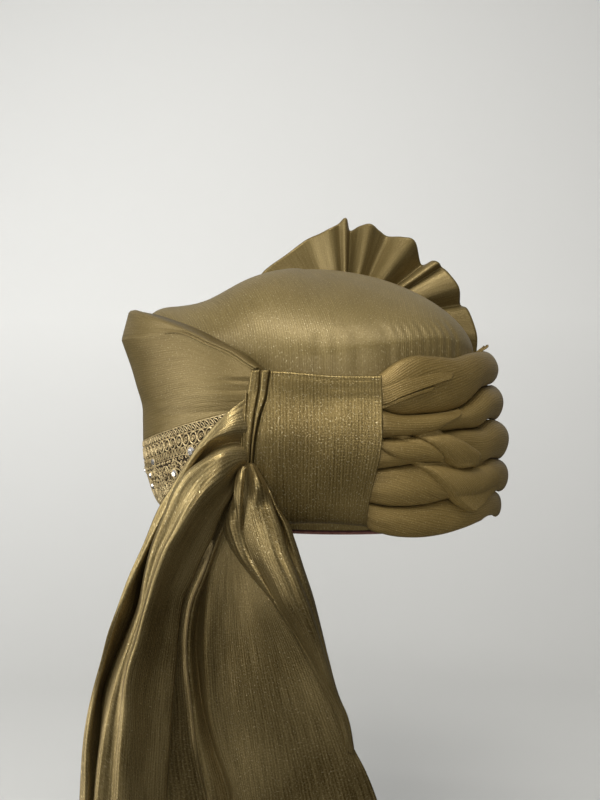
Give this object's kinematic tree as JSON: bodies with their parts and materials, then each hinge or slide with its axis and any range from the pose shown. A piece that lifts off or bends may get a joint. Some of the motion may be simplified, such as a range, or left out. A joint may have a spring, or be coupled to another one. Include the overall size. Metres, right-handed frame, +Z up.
{
  "type": "turban",
  "caption": "Wound ready-made turban in ribbed gold cloth, with a lace brow set with crystals, an upright side band, twisted back rolls, a pleated fan and a long hanging tail",
  "frame": {"origin": "Centre of the head opening, on the plane of the rim", "axes": "+Z up out of the crown, -X towards the brow, -Y towards the wearer's left side, which the picture shows"},
  "size_m": [0.2719, 0.2234, 0.3792],
  "materials": {
    "gold_cloth": "satin, ribbed, metallic thread",
    "gold_cloth_deep": "satin, ribbed, metallic thread",
    "gold_lace": "embroidered metallic thread",
    "maroon_cloth": "matt",
    "crystal": "polished, foil backed"
  },
  "bodies": {
    "root": {"crown": "gold_cloth", "sweatband": "maroon_cloth", "front_panel": "gold_cloth", "brow_lace": "gold_lace", "brow_stone_01": "crystal", "brow_stone_02": "crystal", "brow_stone_03": "crystal", "brow_stone_04": "crystal", "brow_stone_05": "crystal", "brow_stone_06": "crystal", "brow_stone_07": "crystal", "brow_stone_08": "crystal", "brow_stone_09": "crystal", "brow_stone_10": "crystal", "brow_stone_11": "crystal", "brow_stone_12": "crystal", "brow_stone_13": "crystal", "side_band": "gold_cloth", "far_band": "gold_cloth", "back_roll_1": "gold_cloth", "back_roll_2": "gold_cloth", "back_roll_3": "gold_cloth", "back_roll_4": "gold_cloth", "back_roll_5": "gold_cloth", "fan": "gold_cloth", "tail": "gold_cloth_deep", "tuck_end": "gold_cloth"}
  },
  "joints": []
}
